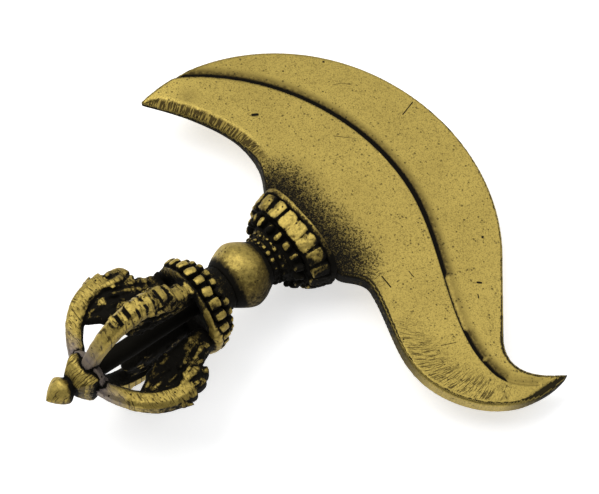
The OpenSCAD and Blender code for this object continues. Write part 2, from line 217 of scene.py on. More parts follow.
def ball(at, size, turn=0, cubic=0.0):
    """A pebble: a cube cut finely and drawn toward a sphere, less so where cubic is high. turn is
    in degrees about Y."""
    bpy.ops.object.select_all(action="DESELECT")
    bpy.ops.mesh.primitive_cube_add(size=1, location=(0, 0, 0))
    obj = bpy.context.active_object
    bpy.ops.object.mode_set(mode="EDIT")
    bpy.ops.mesh.subdivide(number_cuts=5)
    bpy.ops.transform.tosphere(value=1 - cubic)
    bpy.ops.object.mode_set(mode="OBJECT")
    box = obj.dimensions
    obj.scale = Vector(size) / box.x
    obj.location = at
    obj.rotation_euler = (0, math.radians(turn), 0)
    return place(obj)


def capsule(a, b, ra, rb):
    """A rounded bar from a to b that thins from one radius to the other."""
    a, b = Vector(a), Vector(b)
    long = (b - a).length
    bpy.ops.object.select_all(action="DESELECT")
    bpy.ops.mesh.primitive_cone_add(vertices=20, radius1=ra, radius2=rb, depth=long)
    obj = bpy.context.active_object
    obj.rotation_euler = (b - a).to_track_quat("Z", "Y").to_euler()
    obj.location = (a + b) / 2
    place(obj)
    ends = [ball(a, (2 * ra,) * 3), ball(b, (2 * rb,) * 3)]
    return joined("capsule", [obj, *ends])


def swept(name, path, profile, scale):
    """A bar along a path in the XZ plane: a profile of (across, out) pairs is carried along a
    curve, wider or narrower by scale at each point."""
    bpy.ops.object.select_all(action="DESELECT")
    bpy.ops.curve.primitive_bezier_circle_add()
    shape = named(name + "_profile")
    shape.data.dimensions = "2D"
    shape.data.splines.clear()
    line(shape.data, [(x, y, 0) for x, y in profile], True)
    bpy.ops.curve.primitive_bezier_circle_add()
    bar = named(name)
    bar.data.splines.clear()
    line(bar.data, [(x, 0, z) for x, z in path], False)
    for point, r in zip(bar.data.splines[0].points, scale):
        point.radius = r
    bar.data.dimensions = "3D"
    bar.data.bevel_mode = "OBJECT"
    bar.data.bevel_object = shape
    bar.data.use_fill_caps = True
    only(bar)
    bpy.ops.object.convert(target="MESH")
    bpy.data.objects.remove(shape)
    return closed(bar)


def line(curve, points, cyclic):
    """Draws a line of points in a curve."""
    spline = curve.splines.new("POLY")
    spline.points.add(len(points) - 1)
    for point, at in zip(spline.points, points):
        point.co = (*at, 1)
    spline.use_cyclic_u = cyclic


def fused(obj, cell=None, smooth=3, rough=1.0, cells=1.4):
    """Fuses overlapping forms into one skin, softens it and leaves the unevenness of a casting."""
    modify(obj, "REMESH", mode="VOXEL", voxel_size=cell or sizes().grain, use_smooth_shade=True)
    modify(obj, "SMOOTH", factor=0.5, iterations=smooth)
    if rough and sizes().roughcast:
        for size, share in ((cells, 1.0), (cells * 0.3, 0.3)):
            cloud = bpy.data.textures.new("Casting", "CLOUDS")
            cloud.noise_scale = size
            cloud.noise_depth = 1
            modify(obj, "DISPLACE", texture=cloud, texture_coords="GLOBAL", mid_level=0.5,
                   strength=sizes().roughcast * rough * share)
    return obj


def finished(obj, node, material):
    """Lays a piece down, gives it its material and lets it stand for its CAD node."""
    place(obj, BENCH_TO_ROW)
    obj.name = obj.data.name = node + "_brass"
    obj.data.materials.clear()
    obj.data.materials.append(material)
    only(obj)
    bpy.ops.object.shade_smooth()
    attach(obj, "root")
    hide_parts(node)
    return obj


# Lines in a plane


def bezier(points, n):
    p = np.array(points, float)
    t = np.linspace(0, 1, n + 1)[:, None]
    return (1 - t) ** 3 * p[0] + 3 * (1 - t) ** 2 * t * p[1] + 3 * (1 - t) * t ** 2 * p[2] + t ** 3 * p[3]


def arc(centre, radius, start, end, n):
    a = np.radians(np.linspace(start, end, n + 1))
    return np.array(centre) + radius * np.c_[np.cos(a), np.sin(a)]


def toward(degrees):
    return np.array((math.cos(math.radians(degrees)), math.sin(math.radians(degrees))))


def joined_line(*parts):
    return np.concatenate([parts[0], *[p[1:] for p in parts[1:]]])


def beside(points, path):
    """For points in a plane: distance from a line, run along it, and the side, left positive."""
    a, d = path[:-1], np.diff(path, axis=0)
    long = np.linalg.norm(d, axis=1)
    start = np.concatenate([[0], np.cumsum(long)[:-1]])
    out = []
    for some in np.array_split(points, max(1, len(points) // 3000)):
        rel = some[:, None] - a
        t = np.clip((rel * d).sum(-1) / long ** 2, 0, 1)
        gap = rel - t[..., None] * d
        far = np.linalg.norm(gap, axis=2)
        k = far.argmin(1)
        i = np.arange(len(some))
        cross = d[k, 0] * gap[i, k, 1] - d[k, 1] * gap[i, k, 0]
        out.append(np.c_[far[i, k], start[k] + t[i, k] * long[k], np.sign(cross), gap[i, k]])
    return np.concatenate(out)


def blade_lines():
    """Outline of the blade as a closed line, the runs along it at which its parts begin, and the
    middle line of the groove."""
    upper, lower_r, upper_r, join = np.array((0.6, 5.3)), 63.6, 58.3, 22.8
    lower = upper - (lower_r - upper_r) * toward(join)
    tip, end = upper + upper_r * toward(100.3), lower + lower_r * toward(-44)
    hook = end + 24 * toward(-134) + (1, 0)
    throat, low_throat, belly, waist = (5.2, 29), (5.2, -25), (7.3, -71.8), (-1.7, -52)
    inner = joined_line(bezier([(0, 15.6), (1, 19), (5.2, 22), throat], 14),
                        bezier([throat, (5.2, 41), (-2.5, 52), tip - (0.3, 1)], 24))
    edge = joined_line(arc(upper, upper_r, 100.3, join, 60), arc(lower, lower_r, join, -44, 60))
    hooked = joined_line(bezier([hook, (19, -65), (20.5, -72), (32.3, -78.3)], 24),
                         bezier([(32.3, -78.3), (24, -80.2), (14.5, -78.5), belly], 18))
    back = joined_line(bezier([belly, (2.5, -67.3), (-1.7, -60), waist], 16),
                       bezier([waist, (-1.7, -43), (3.6, -34.5), low_throat], 18),
                       bezier([low_throat, (5.6, -20.5), (0, -19), (0, -15.6)], 14))
    outline = np.concatenate([inner, edge, hooked, back[1:], [[0, 15.6]]])
    runs = np.concatenate([[0], np.cumsum(np.linalg.norm(np.diff(outline, axis=0), axis=1))])
    starts = {"inner": 0, "edge": runs[len(inner)], "hook": runs[len(inner) + len(edge)],
              "belly": runs[len(inner) + len(edge) + len(hooked) - 1], "all": runs[-1]}
    centre, radius = np.array((-29.9, 5.7)), 66.7
    bend = (15.3, -64)
    groove = joined_line(
        arc(centre, radius, 61, -10, 60),
        bezier([centre + radius * toward(-10), (32, -27), (14, -47), bend], 30),
        bezier([bend, (15.2, -69), (18.5, -72.5), (23, -75.4)], 12))
    return outline, starts, groove


def attribute(obj, name, values):
    """Stores one number a vertex."""
    layer = obj.data.attributes.new(name, "FLOAT", "POINT")
    layer.data.foreach_set("value", np.asarray(values, np.float32))


def ease(x):
    x = np.clip(x, 0, 1)
    return x * x * (3 - 2 * x)


def near(distance, reach):
    """1 at no distance, down to 0 from where the reach ends."""
    return 1 - np.clip(distance / reach, 0, 1)


# Node groups and materials


class Value:
    """What a node puts out. It is reckoned with like a number."""

    def __init__(self, socket):
        self.socket = socket
        self.tree = socket.id_data

    def __add__(self, other):
        return reckon("ADD", self, other)

    def __sub__(self, other):
        return reckon("SUBTRACT", self, other)

    def __rsub__(self, other):
        return reckon("SUBTRACT", other, self)

    def __mul__(self, other):
        return reckon("MULTIPLY", self, other)

    def __truediv__(self, other):
        return reckon("DIVIDE", self, other)

    def __rtruediv__(self, other):
        return reckon("DIVIDE", other, self)

    __radd__ = __add__
    __rmul__ = __mul__


def feed(socket, value):
    """Gives a socket a number, a colour or what another node puts out."""
    if isinstance(value, Value):
        value.tree.links.new(value.socket, socket)
    else:
        socket.default_value = value


def values_of(node):
    """What a node puts out, by number and by name."""
    return {key: Value(socket) for i, socket in enumerate(node.outputs) for key in (i, socket.name)}


def put(tree, kind, inputs=None, **settings):
    """Adds a node with its settings and inputs, and returns what it puts out."""
    node = tree.nodes.new("ShaderNode" + kind)
    for key, value in settings.items():
        setattr(node, key, value)
    for key, value in (inputs or {}).items():
        feed(node.inputs[key], value)
    return values_of(node)


def reckon(operation, a, b, clamp=False):
    tree = (a if isinstance(a, Value) else b).tree
    return put(tree, "Math", {0: a, 1: b}, operation=operation, use_clamp=clamp)[0]


def most(*values):
    """The highest of several values."""
    highest = values[0]
    for value in values[1:]:
        highest = reckon("MAXIMUM", highest, value)
    return highest


def ramp(value, low, high, to_low=0.0, to_high=1.0):
    """Carries a value smoothly from one range to another."""
    return put(value.tree, "MapRange", {0: value, 1: low, 2: high, 3: to_low, 4: to_high},
               interpolation_type="SMOOTHSTEP")[0]


def blend(share, a, b):
    """Mixes two colours."""
    return put(share.tree, "Mix", {0: share, 6: a, 7: b}, data_type="RGBA")[2]


def vector(operation, a, b, output=0):
    """One step of reckoning with places: what it gives is a place, or a number as output 1."""
    return put(a.tree, "VectorMath", {0: a, 1: b}, operation=operation)[output]


def scaled(place, scale):
    return put(place.tree, "VectorMath", {0: place, "Scale": scale}, operation="SCALE")[0]


def cloudy(place, scale, detail=3.0, rough=0.55, output=0):
    return put(place.tree, "TexNoise", {"Vector": place, "Scale": scale, "Detail": detail,
                                        "Roughness": rough})[output]


def read(tree, name):
    """A number that is stored on the piece, a vertex at a time."""
    return put(tree, "Attribute", attribute_name=name)["Fac"]


def shared(name, inputs, outputs):
    """Makes a shader node group of the function below it. The group is built once, and each call of
    the function places it. The kind of each socket is given by its name."""
    def wrap(build):
        built = []

        def placed(*values):
            if not built:
                inner = bpy.data.node_groups.new(name, "ShaderNodeTree")
                for side, sockets in (("INPUT", inputs), ("OUTPUT", outputs)):
                    for label, kind in sockets.items():
                        inner.interface.new_socket(label, in_out=side, socket_type="NodeSocket" + kind)
                given = values_of(inner.nodes.new("NodeGroupInput"))
                out = inner.nodes.new("NodeGroupOutput").inputs
                for label, value in zip(outputs, build(*(given[label] for label in inputs))):
                    feed(out[label], value)
                built.append(inner)
            tree = next(value.tree for value in values if isinstance(value, Value))
            found = put(tree, "Group", dict(zip(inputs, values)), node_tree=built[0])
            return [found[label] for label in outputs]

        return placed
    return wrap


@shared("Brass Tone", {"Vector": "Vector", "Clean": "Color", "Dull": "Color", "Patch": "Float",
                       "Dullness": "Float"}, {"Color": "Color"})
def brass_tone(place, clean, dull, patch, dullness):
    """Brass that is rubbed clean in places and dull in others."""
    both = cloudy(place, 1 / patch, 4) * 0.75 + cloudy(place, 1.6, 4, 0.7) * 0.25
    return [blend(ramp(both, 0.38, 0.62) * dullness, clean, dull)]


@shared("Pits", {"Vector": "Vector", "Spacing": "Float", "Size": "Float", "Share": "Float"},
        {"Mask": "Float"})
def casting_pits(place, spacing, size, share):
    """Small holes left by casting."""
    warped = vector("ADD", place, scaled(cloudy(place, 2.2, 2, 0.5, "Color"), 0.5))
    cell = put(place.tree, "TexVoronoi", {"Vector": warped, "Scale": 1 / spacing})
    parts = put(place.tree, "SeparateColor", {0: cell["Color"]})
    size = size * (reckon("POWER", parts[1], 3.0) + 0.3)
    inside = ramp(cell["Distance"] * spacing / size, 1.0, 0.55)
    return [inside * reckon("LESS_THAN", parts[0], share)]


@shared("File Strokes", {"Across": "Float", "Length": "Float", "Spacing": "Float", "Reach": "Float",
                         "Share": "Float"}, {"Mask": "Float"})
def file_strokes(across, length, spacing, reach, share):
    """File marks: long thin streaks that lie across one direction."""
    place = put(across.tree, "CombineXYZ", {0: across / spacing, 1: length / reach})[0]
    low = 0.72 - share * 0.3
    return [ramp(cloudy(place, 1.0, 2, 0.6), low, low + 0.09)]


@shared("Dark Coat and Shade", {"Vector": "Vector", "Crevice": "Float", "Shelter and Shade": "Float", "Amount": "Float",
                      "Soften": "Float"}, {"Mask": "Float", "Edge": "Float"})
def coat_and_shade(place, crevice, shelter_and_shade, amount, soften):
    """The dark coat that stays in crevices and on the sides that no hand rubs, with painted shade inside the
    cage and on the sides turned from the lamps, broken at its edge.
    """
    depth = (crevice + shelter_and_shade) * amount + (cloudy(place, 0.9, 5, 0.75) - 0.5) * 1.1
    start = 0.46 - soften * 0.5
    return [ramp(depth, start, start + soften), ramp(depth, start - 0.3, start + 0.1)]


@shared("Mark", {"Marks": "Float", "Vector": "Vector", "Grain": "Float", "Start": "Vector", "End": "Vector",
                 "Width": "Float", "Breakup": "Float"}, {"Mask": "Float"})
def scratch(marks, place, grain, start, end, width, breakup):
    """One straight scratch or dent, from start to end, added to the marks before it."""
    path = vector("SUBTRACT", end, start)
    from_start = vector("SUBTRACT", place, start)
    length = vector("DOT_PRODUCT", path, path, 1) + 1e-6
    run = reckon("DIVIDE", vector("DOT_PRODUCT", from_start, path, 1), length, clamp=True)
    gap = vector("DISTANCE", from_start, scaled(path, run), 1)
    mark = ramp(gap / (width * (1.25 - grain * breakup)), 1.0, 0.4)
    return [most(marks, mark)]


def started(name):
    """A new material, with its shader and the bench coordinates of the piece in millimetres."""
    material = bpy.data.materials.new(name)
    material.use_nodes = True
    tree = material.node_tree
    spot, turn, _ = ROW_TO_BENCH.decompose()
    bench = put(tree, "Mapping", {0: put(tree, "TexCoord")["Object"], "Location": spot,
                                  "Rotation": turn.to_euler(), "Scale": ROW_TO_BENCH.to_scale()})[0]
    return material, tree.nodes["Principled BSDF"], bench


def coated(shader, colour, mask, height, gloss):
    """Joins a finish to its shader: the dark coat is rough, and hardly reflects."""
    bump = put(mask.tree, "Bump", {"Strength": 0.7, "Distance": 0.0004, "Height": height})
    for key, value in {"Base Color": colour, "Metallic": ramp(mask, 0, 0.8, 0.88, 0.0), "Normal": bump[0],
                       "Specular IOR Level": 0.1, "Roughness": gloss + mask * 0.3}.items():
        feed(shader.inputs[key], value)


def brass(name, dullness=0.5, patch=9.0, coat=1.0, soften=0.25, pits=0.4, pit_size=0.3, strokes=None,
          rough=0.44, bloom=None):
    """A cast and rubbed brass. strokes is (across axis, along axis, spacing, reach, share), and bloom
    the two stations between which the torch's colour comes in."""
    material, shader, bench = started(name)
    colours = finishes()
    colour, = brass_tone(bench, colours.clean, colours.worn, patch, dullness)
    # The sheltered hollows where the coat stays, with painted shade added inside the cage and on the sides
    # turned from the lamps; the coat mask below paints both.
    crevice, shelter_and_shade = (read(bench.tree, key) for key in ("crevice", "shelter_and_shade"))
    dark, dark_edge = coat_and_shade(bench, crevice, shelter_and_shade, coat, soften)
    mask = most(dark, *casting_pits(bench, 1.1, pit_size, pits))
    mottle = ramp(cloudy(bench, 1.7, 5, 0.8), 0.46, 0.7, 0.0, 0.55)
    colour = blend(most(mottle, dark_edge * 0.8), colour, colours.umber_and_shade)
    height = cloudy(bench, 1.3, 5, 0.6) * 0.3
    axes = put(bench.tree, "SeparateXYZ", {0: bench})
    if strokes:
        across, along, spacing, reach, share = strokes
        spread = axes[across] + cloudy(bench, 0.35, 2) * 1.2
        filed, = file_strokes(spread, axes[along], spacing, reach, share)
        colour = blend(filed * 0.85, colour, colours.umber_and_shade)
        height = height - filed * 0.3
    if bloom:
        burnt = ramp(axes[0] + cloudy(bench, 0.4, 4) * 4, bloom[0] + 2, bloom[1] + 2, 0.0, 0.85)
        colour = blend(burnt, colour, colours.bloom)
    gloss = cloudy(bench, 0.8, 4) * 0.14 + rough
    coated(shader, blend(mask, colour, colours.patina), mask, height - mask * 0.3, gloss)
    return material


MARK_Z = 2.4  # the height on the bench of the marks below, just under the blade's front
MARKS = (  # from and to on the front of the blade, half width, how broken
    ((13.5, 39.3), (14.7, 38.7), 0.62, 0.2), ((43.3, 42.4), (43.4, 42.3), 0.42, 0.3),
    ((30.9, 46.6), (31.0, 46.6), 0.36, 0.3), ((50.8, 13.9), (56.2, 15.6), 0.3, 0.9),
    ((28.5, 20.0), (33.6, 15.3), 0.16, 1.0), ((40.1, 34.2), (43.0, 33.2), 0.14, 1.1),
    ((43.0, 33.2), (45.0, 30.9), 0.14, 1.1), ((16.8, -27.7), (16.7, -29.9), 0.22, 0.9),
    ((30.5, -41.9), (31.3, -42.6), 0.42, 0.4), ((28.0, -44.8), (27.4, -45.8), 0.26, 0.8),
    ((9.4, -24.5), (9.2, -28.5), 0.5, 1.4), ((8.7, -50.7), (12.7, -52.4), 0.16, 1.1),
)
SMUDGE = (1.8, 55.5, 2.5)


def blade_finish():
    """Rubbed brass with fine pits, scratches, a dark groove and file marks along its inner rim, with painted
    shade along its rims and walls, on the groove's outer slope, on the filed shoulder and in the collar's
    shadow.
    """
    material, shader, bench = started("Blade Brass")
    colours, starts = finishes(), blade_lines()[1]
    edge_run, belly_run = starts["edge"], starts["belly"]
    tone, = brass_tone(bench, colours.clean, colours.worn, 14.0, 0.4)
    rim, run, groove, width = (read(bench.tree, key) for key in ("rim", "run", "groove", "groove_dark"))
    from_collar, edge_shade, wall_shade = (read(bench.tree, key) for key in ("from_collar", "edge_shade", "wall_shade"))
    grain, fine = cloudy(bench, 2.2, 5, 0.8), cloudy(bench, 0.9, 4, 0.65)
    ragged = (fine - 0.5) * 1.3

    # the dark floor of the groove, as wide as the rubbing left it, and painted shade on its outer slope,
    # darkest near the groove
    groove_floor = ramp(groove, -0.8, -0.6) * ramp(groove + ragged, width - 0.15, width - 0.6)
    groove_floor = groove_floor * ramp(width, 0.02, 0.25)
    slope_shade = ramp(groove + ragged, 4.2, 0.6) * ramp(groove, -0.8, -0.5) * ramp(fine, 0.3, 0.65, 0.6, 1.0)
    slope_shade = slope_shade * ramp(width, -0.2, 0.9, 0.25, 1.0)

    # painted shadow of the collar, mottled like the coat, that fades outward from the collar
    collar_shadow = ramp(from_collar - fine * 6, 17.5, -1)
    mottle = ramp(grain + collar_shadow * 0.2, 0.56, 0.68) * ramp(collar_shadow, 0.0, 0.35)

    holes, = casting_pits(bench, 0.8, 0.34, 0.5)
    marks = most(groove_floor, mottle, holes * 0.6, *casting_pits(bench, 5.2, 0.5, 0.4))
    for start, end, wide, broken in MARKS:
        marks, = scratch(marks, bench, grain, (*start, MARK_Z), (*end, MARK_Z), wide, broken)

    # file marks in from the inner rim: a short band by the tip, a long one by the belly
    upper = ramp(run, 8, 16) * ramp(run, edge_run + 1, edge_run - 1) * ramp(rim + fine * 2, 4.6, 3.4)
    short, = file_strokes(run, rim, 0.5, 3.5, 0.95)
    low = ramp(run, belly_run - 12, belly_run + 2) * ramp(run, belly_run + 42, belly_run + 28)
    low = low * ramp(rim, 0.8, 1.8) * ramp(rim, 12, 4)
    long, = file_strokes(run + rim * 0.6, rim, 0.36, 4.5, 0.66)
    filed = most(upper * short, low * long * 0.95)

    # painted shade along the outline and on the walls that face inward, broken like the coat
    edge = ramp((rim + ragged) / edge_shade, 1.15, 0.85)
    mask = most(marks, edge * 0.95, wall_shade * ramp(fine, 0.3, 0.5, 0.75, 1.0))

    smudge = ramp(vector("DISTANCE", bench, SMUDGE, 1), 5.5, 0.5) * ramp(fine, 0.35, 0.6, 0.1, 0.4)
    # a tint of grain and a smudge, with painted shade in the collar's shadow, on the groove's outer slope and
    # on the filed shoulder
    olive_and_shade = most(ramp(grain, 0.46, 0.64, 0.0, 0.55), smudge, collar_shadow * 0.75, slope_shade, upper * 0.35)
    colour = blend(filed * 0.92, blend(olive_and_shade, tone, colours.umber_and_shade), colours.umber_and_shade)
    height = grain * 0.2 - most(mask, filed) * 0.25
    gloss = cloudy(bench, 0.5, 5, 0.7) * 0.14 + 0.33 + most(slope_shade, upper) * 0.25
    coated(shader, blend(mask, colour, colours.patina), mask, height, gloss)
    return material


# Pieces


class KARTIKA_OT_blade(bpy.types.Operator):
    """Crescent blade with its lipped groove, rounded rims and uneven hand finish"""

    bl_idname = "kartika.blade"
    bl_label = "Blade"

    def execute(self, context):
        outline, starts, groove = blade_lines()
        bpy.ops.object.select_all(action="DESELECT")
        bpy.ops.curve.primitive_bezier_circle_add()
        plate = named("plate")
        plate.data.splines.clear()
        plate.data.dimensions = "2D"
        plate.data.fill_mode = "BOTH"
        plate.data.extrude = BLADE_T / 2
        line(plate.data, [(x, y, 0) for x, y in outline[:-1]], True)
        only(plate)
        bpy.ops.object.convert(target="MESH")
        closed(plate)
        modify(plate, "REMESH", mode="VOXEL", voxel_size=0.42, use_smooth_shade=True)
        self.carve(plate, outline, starts, groove)
        finished(plate, "blade", blade_finish())
        return {"FINISHED"}

    def carve(self, plate, outline, starts, groove):
        """Cuts the groove and the rounded rims into the plate, and leaves it slightly uneven."""
        mesh = plate.data
        co = np.empty(len(mesh.vertices) * 3)
        mesh.vertices.foreach_get("co", co)
        co = co.reshape(-1, 3)
        half = BLADE_T / 2
        on_face = np.abs(co[:, 2]) > half - 0.05
        rim = beside(co[:, :2], outline)
        cut = beside(co[:, :2], groove)
        far = cut[:, 0] * cut[:, 2]
        lip = -sizes().groove_width / 2
        # points near the lip are drawn onto it, so that it runs clean
        ends = (cut[:, 1] > 0.5) & (cut[:, 1] < cut[:, 1].max() - 0.5)
        for mark in (lip, lip + 0.42):
            close = on_face & ends & (np.abs(far - mark) < 0.22) & (rim[:, 0] > 1)
            out = cut[close, 3:] / cut[close, :1] * cut[close, 2:3]
            co[close, :2] += (mark - far[close])[:, None] * out
            far[close] = mark
        fade = 1 - 0.45 * ease((cut[:, 1] - 70) / 70)
        depth = sizes().groove_depth * fade
        floor = np.clip((far - lip) / 0.42, 0, 1)
        slope = (1 - ease((far - lip - 0.42) / (2.4 * fade))) ** 1.4
        drop = depth * floor * slope * (far > lip)
        # rims: a slight round everywhere, a filed shoulder by the inner upper rim, a thin pointed tip
        d, run = rim[:, 0], rim[:, 1]
        soft = ease((run - 10) / 12) * ease((starts["edge"] + 2 - run) / 3)
        lower = ease((run - starts["belly"] + 20) / 8)
        tip = np.hypot(co[:, 0] - outline[38, 0], co[:, 1] - outline[38, 1])
        drop = np.maximum(drop, 1.6 * soft * near(d, 4.2) ** 1.8)
        drop = drop + 0.3 * near(d, 0.8) ** 2 + 0.1 * lower * near(d, 2.2) ** 2
        filed = ease((run - starts["belly"] + 30) / 4) * ease((starts["belly"] - 9 - run) / 7)
        drop = drop + 0.9 * filed * near(d, 2.8) ** 1.2
        drop = np.minimum(drop + 1.9 * near(tip, 22) ** 2, 2.15)
        waves = np.array([noise.noise(Vector((x * 0.055, y * 0.055, z * 0.4))) * 0.09
                          + noise.noise(Vector((x * 0.19, y * 0.19, z))) * 0.02 for x, y, z in co])
        drop = drop + np.clip(waves + 0.05, 0, None) * ease(d / 2)
        co[:, 2] = np.where(on_face, co[:, 2] - np.sign(co[:, 2]) * drop, co[:, 2] * (1 - drop / half))
        mesh.vertices.foreach_set("co", co.ravel())
        mesh.update()
        self.measure(plate, co, on_face, rim, np.c_[far, cut[:, 1]], starts)

    def measure(self, plate, co, on_face, rim, cut, starts):
        """Stores how far each point is from the rim, the groove and the collar, how wide the dark coat was
        left along the groove and how wide the painted shade is along the rim and on the walls. Each table
        gives (run along the line, width)."""
        edge, hook, belly, end = (starts[key] for key in ("edge", "hook", "belly", "all"))
        groove_dark = ((0, 0.8), (10, 1.0), (20, 1.15), (36, 1.25), (50, 1.3), (62, 1.4), (85, 1.45),
                       (102, 1.15), (113, 1.05), (114.5, 0.25), (131, 0.25), (132.5, 0.95), (141, 0.9),
                       (141.8, 0.3), (142.6, 0.9), (149, 0.75), (151, 0))
        edge_shade = ((0, 0.6), (12, 0.3), (edge, 0.45), (edge + 50, 0.45), (edge + 105, 0.6),
                     (hook - 12, 0.7), (hook + 6, 1.2), (belly - 29, 0.8), (belly - 24, 2.6),
                     (belly - 17, 2.0), (belly - 9, 0.85), (belly + 12, 0.8), (end - 74, 0.5),
                     (end - 60, 0.8), (end - 44, 1.1), (end - 34, 1.3))
        wall_shade = ((0, 0.6), (6, 1), (edge - 1, 1), (edge + 1, 0.3), (hook - 4, 0.3), (hook, 1), (belly - 16, 1),
                (belly - 4, 0.1), (end - 76, 0.15), (end - 66, 0.7), (end - 56, 1))
        off_face = 9
        past_collar = np.hypot(np.clip(co[:, 0], 0, None), np.clip(np.abs(co[:, 1]) - 13, 0, None))
        for name, values in {
                "rim": np.where(on_face, rim[:, 0], off_face), "run": rim[:, 1], "from_collar": past_collar,
                "groove": np.where(on_face, cut[:, 0], off_face),
                "groove_dark": np.interp(cut[:, 1], *zip(*groove_dark)),
                "edge_shade": np.interp(rim[:, 1], *zip(*edge_shade)),
                "wall_shade": np.where(on_face, 0, np.interp(rim[:, 1], *zip(*wall_shade)))}.items():
            attribute(plate, name, values)


class KARTIKA_OT_spindle(bpy.types.Operator):
    """Spindle in the middle of the cage, dark with painted shade, and the hidden rivet"""

    bl_idname = "kartika.spindle"
    bl_label = "Spindle"

    def execute(self, context):
        rod = turned("spindle", [(-82.9, 0), (-82.9, 1.3), (CAP, 1.3), (CAP, 2.75), (-70, 2.65), (-60, 2.75),
                                 (-50, 2.7), (HUB, 2.75), (-0.3, 2.75), (-0.3, 0)], 40)
        modify(rod, "SUBSURF", levels=2, render_levels=2, subdivision_type="SIMPLE")
        # the heavy coat paints shade over the spindle, which lies deep in the cage
        finished(rod, "spindle", brass("Spindle Brass", 1.0, coat=4.0, pits=0.5, rough=0.5))
        rivet = frame["nodes"]["tang_rivet"]
        plain = brass("Rivet Brass", 0.3, coat=0.0, pits=0.1)
        rivet.data.materials.clear()
        rivet.data.materials.append(plain)
        return {"FINISHED"}


def oval(a, half_w, half_h, form=2.7):
    """A point on the squarish oval of the collar, and the direction outward there."""
    c, s = math.cos(a), math.sin(a)
    y = half_w * math.copysign(abs(c) ** (2 / form), c)
    z = half_h * math.copysign(abs(s) ** (2 / form), s)
    out = Vector((0, math.copysign(abs(y / half_w) ** (form - 1), c) / half_w,
                  math.copysign(abs(z / half_h) ** (form - 1), s) / half_h))
    return Vector((0, y, z)), out.normalized()


def oval_marks(count, half_w, half_h, phase=0.0):
    """Angles that share out an oval's length evenly."""
    many = [2 * math.pi * i / 720 for i in range(721)]
    spots = np.array([oval(a, half_w, half_h)[0][1:] for a in many])
    run = np.concatenate([[0], np.cumsum(np.linalg.norm(np.diff(spots, axis=0), axis=1))])
    return [float(np.interp((i + phase) / count % 1 * run[-1], run, many)) for i in range(count)]


def bell(name, rings):
    """An oval bell along the handle, from rings: station, half width, half height and maybe form."""
    obj = turned(name, [(rings[0][0], 0)] + [(r[0], 1) for r in rings] + [(rings[-1][0], 0)], 96)
    table = {round(r[0], 3): r[1:] for r in rings}
    for v in obj.data.vertices:
        x, y, z = v.co
        if math.hypot(y, z) > 0.5:
            spot = oval(math.atan2(z, y), *table[round(x, 3)])[0]
            v.co = (x, spot.y, spot.z)
    return obj


def seat(origin, out, tip_x, lean):
    """A place on the collar: local X along the handle, Z outward, leaned by degrees."""
    side = out.cross(Vector((1, 0, 0))).normalized()
    turn = Matrix((Vector((1, 0, 0)), side, out)).transposed().to_4x4()
    spot = Matrix.Translation(Vector((tip_x, origin.y, origin.z)))
    return spot @ turn @ Matrix.Rotation(math.radians(lean), 4, "Y")


def uneven(rng, *limits):
    """A scale that differs from copy to copy, between limits along X, Y and maybe Z."""
    return Matrix.Diagonal((*(rng.uniform(*pair) for pair in limits), 1, 1)[:4])


def studded(node, base, stud, spots, finish, slot, *fusing):
    """A piece made of a base and of a stud that is copied to many spots."""
    piece = joined(node, [base, copies("studs", stud, spots)])
    fused(piece, *fusing)
    finished(piece, node, finish)


class KARTIKA_OT_collar(bpy.types.Operator):
    """Lotus collar: its dark bell, two rows of petals and the rim band against the blade"""

    bl_idname = "kartika.collar"
    bl_label = "Lotus collar"

    def execute(self, context):
        rng = np.random.default_rng(7)
        rim = bell("rim", [(RIM, 15.4, 11.0), (-1.1, 15.7, 11.2), (-0.35, 16.1, 11.6), (0.0, 16.0, 11.4)])
        fused(rim, 0.3, 2, 1.0)
        finish = brass("Rim Brass", 1.0, coat=2.6, soften=0.6, pits=0.9, rough=0.5)
        finished(rim, "collar_rim", finish)

        base = bell("base", [(PETALS + 0.2, 11.9, 8.1), (-4.6, 13.9, 9.5), (RIM, 14.4, 10.0)])
        spots = []
        for a in oval_marks(sizes().petals, 13.6, 9.4):
            size = uneven(rng, (0.88, 1.04), (0.84, 1.03), (0.8, 1.06))
            spots.append(seat(*oval(a, 13.6, 9.4), (PETALS + RIM) / 2 + 0.3, -20) @ size)
        studded("collar_petals_large", base, ball((0, 0, 0), (6.6, 4.6, 3.1), cubic=0.6), spots,
                brass("Petal Brass", 0.8, coat=1.15, pits=0.4, pit_size=0.4), "worn_brass", None, 2, 2.2)

        base = bell("base", [(SMALL_PETALS, 7.7, 6.6), (PETALS, 10.8, 7.9)])
        middle = (PETALS + SMALL_PETALS) / 2
        spots = []
        for a in oval_marks(sizes().petals, 10.6, 8.3, 0.5):
            size = uneven(rng, (0.7, 1.1), (0.65, 1.1), (0.65, 1.05))
            spots.append(seat(*oval(a, 10.6, 8.3), middle + rng.uniform(-0.4, 0.2), -30) @ size)
        studded("collar_petals_small", base, ball((0, 0, 0), (3.6, 2.7, 2.9), cubic=0.25), spots,
                brass("Small Petal Brass", 0.8, coat=1.6, pits=0.7), "worn_brass", None, 2, 2.0)

        core = bell("core", [(COLLAR, 6.7, 6.7, 2), (SMALL_PETALS + 0.3, 8.4, 7.2, 2.4),
                             (SMALL_PETALS + 0.4, 6, 6, 2), (RIM, 6, 6, 2)])
        spots = [seat(*oval(a, 7.5, 7.0, 2.1), COLLAR + 1 + rng.uniform(-0.35, 0.35), -20)
                 @ Matrix.Scale(rng.uniform(0.5, 1.1), 4) for a in oval_marks(20, 7.5, 7.0)]
        studded("lotus_collar", core, ball((0, 0, 0), (1.7, 2.0, 1.7), cubic=0.2), spots,
                brass("Bell Brass", 0.9, coat=1.5, pits=0.6), "dark_brass", 0.22, 1, 0.8)
        return {"FINISHED"}


